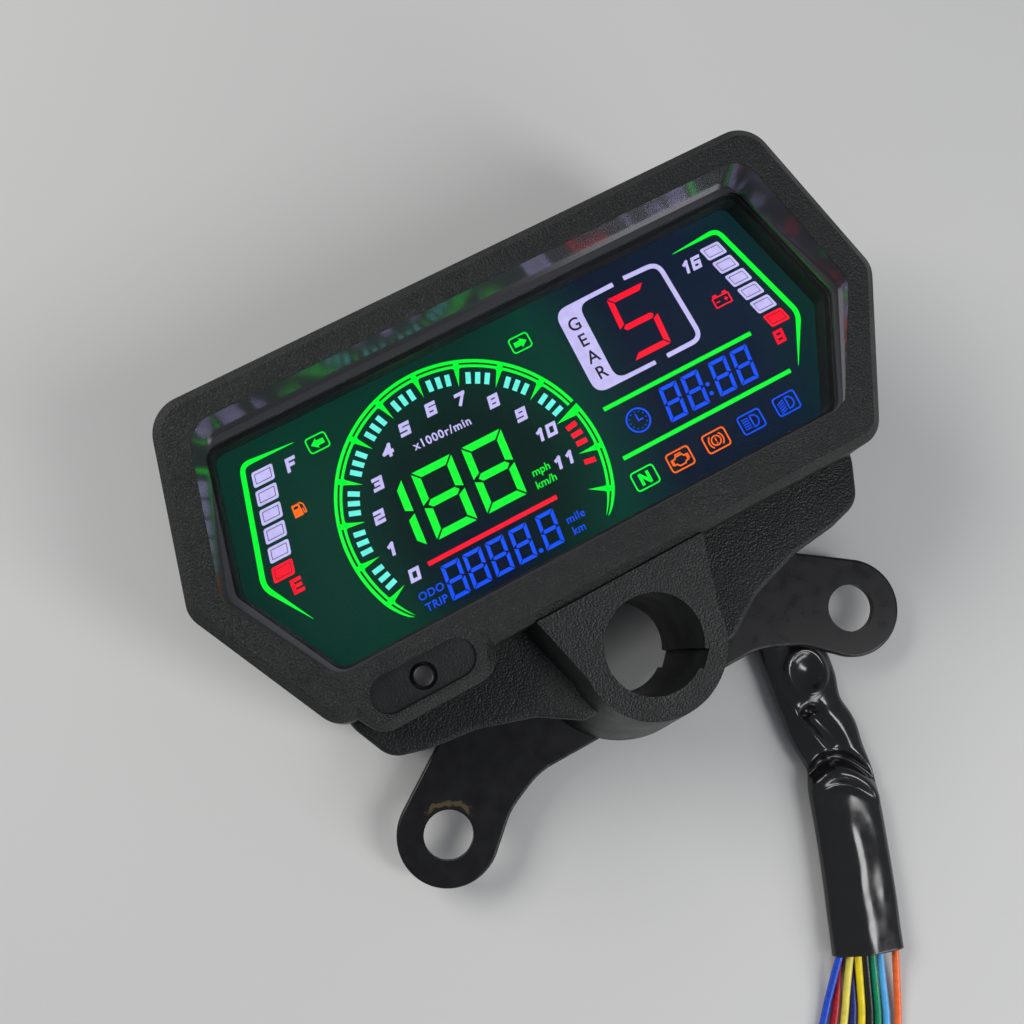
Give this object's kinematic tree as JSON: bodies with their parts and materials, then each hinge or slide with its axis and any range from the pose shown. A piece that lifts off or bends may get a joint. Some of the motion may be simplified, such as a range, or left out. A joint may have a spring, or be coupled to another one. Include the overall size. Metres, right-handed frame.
{
  "type": "motorcycle instrument cluster",
  "caption": "Digital motorcycle instrument cluster with a faceted hood, push button, ignition lock bore, two-eared steel bracket and a sleeved wire harness.",
  "frame": {"origin": "under the middle of the rigid cluster's box, on the surface that the cluster lies on, face up", "axes": "+X across the cluster to the right of the display, +Y from the ignition lock towards the top of the display, +Z out of the display"},
  "size_m": [0.2104, 0.3303, 0.084],
  "materials": {
    "case_black": "fine-textured black moulded plastic",
    "lens_clear": "clear moulded lens",
    "seal_rubber": "soft black rubber",
    "frame_black": "gloss black moulded plastic",
    "lcd_glass": "dark liquid crystal glass",
    "diffuser_white": "white light diffuser",
    "tray_white": "white reflective plastic",
    "pin_tin": "tinned pins",
    "board_green": "solder-masked circuit board",
    "led_body": "white light-emitting diode bodies",
    "chip_black": "moulded chip package",
    "can_aluminium": "drawn aluminium can",
    "screw_steel": "zinc-plated steel",
    "bracket_black": "black paint on pressed steel",
    "button_black": "smooth black plastic",
    "sleeve_pvc": "glossy black vinyl sleeve",
    "loom_black": "taped bundle of wires",
    "nylon_natural": "natural nylon",
    "tie_nylon": "black nylon",
    "terminal_brass": "tinned brass terminals",
    "wire_blue": "PVC insulation",
    "wire_red": "PVC insulation",
    "wire_straw": "PVC insulation",
    "wire_navy": "PVC insulation",
    "wire_yellow": "PVC insulation",
    "wire_black": "PVC insulation",
    "wire_green": "PVC insulation",
    "wire_sky": "PVC insulation",
    "wire_orange": "PVC insulation"
  },
  "bodies": {
    "cluster": {"front_bezel": "case_black", "lens": "lens_clear", "lens_gasket": "seal_rubber", "display_frame": "frame_black", "lcd_front_glass": "lcd_glass", "lcd_rear_glass": "lcd_glass", "light_diffuser": "diffuser_white", "backlight_tray": "tray_white", "lcd_pins": "pin_tin", "circuit_board": "board_green", "backlight_leds": "led_body", "microcontroller": "chip_black", "driver_chips": "chip_black", "capacitors": "can_aluminium", "voltage_regulator": "chip_black", "crystal": "can_aluminium", "resistors": "chip_black", "switch_body": "chip_black", "rear_housing": "case_black", "perimeter_seal": "seal_rubber", "bracket": "bracket_black", "bracket_washers": "screw_steel", "bracket_screws": "screw_steel", "housing_screws": "screw_steel", "board_screws": "screw_steel", "inner_loom": "loom_black", "harness_gland": "seal_rubber", "cable_tie": "tie_nylon", "wire_header": "nylon_natural", "wire_plug": "nylon_natural", "harness_sleeve": "sleeve_pvc", "harness_connector": "nylon_natural", "connector_terminals": "terminal_brass", "wire_blue": "wire_blue", "wire_red": "wire_red", "wire_straw": "wire_straw", "wire_navy": "wire_navy", "wire_yellow": "wire_yellow", "wire_black": "wire_black", "wire_green": "wire_green", "wire_sky": "wire_sky", "wire_orange": "wire_orange"},
    "mode_button": {"mode_button": "button_black"},
    "switch_plunger": {"switch_plunger": "button_black"}
  },
  "joints": [
    {"name": "mode_button_press", "type": "slide", "parent": "cluster", "child": "mode_button", "axis": [0, 0, -1], "range_m": [0, 0.0005], "stiffness_N_per_m": 1500},
    {"name": "switch_plunger_press", "type": "slide", "parent": "cluster", "child": "switch_plunger", "axis": [0, 0, -1], "range_m": [0, 0.0005]}
  ],
  "couplings": [
    {"joint": "switch_plunger_press", "follows": "mode_button_press", "ratio": 1}
  ]
}
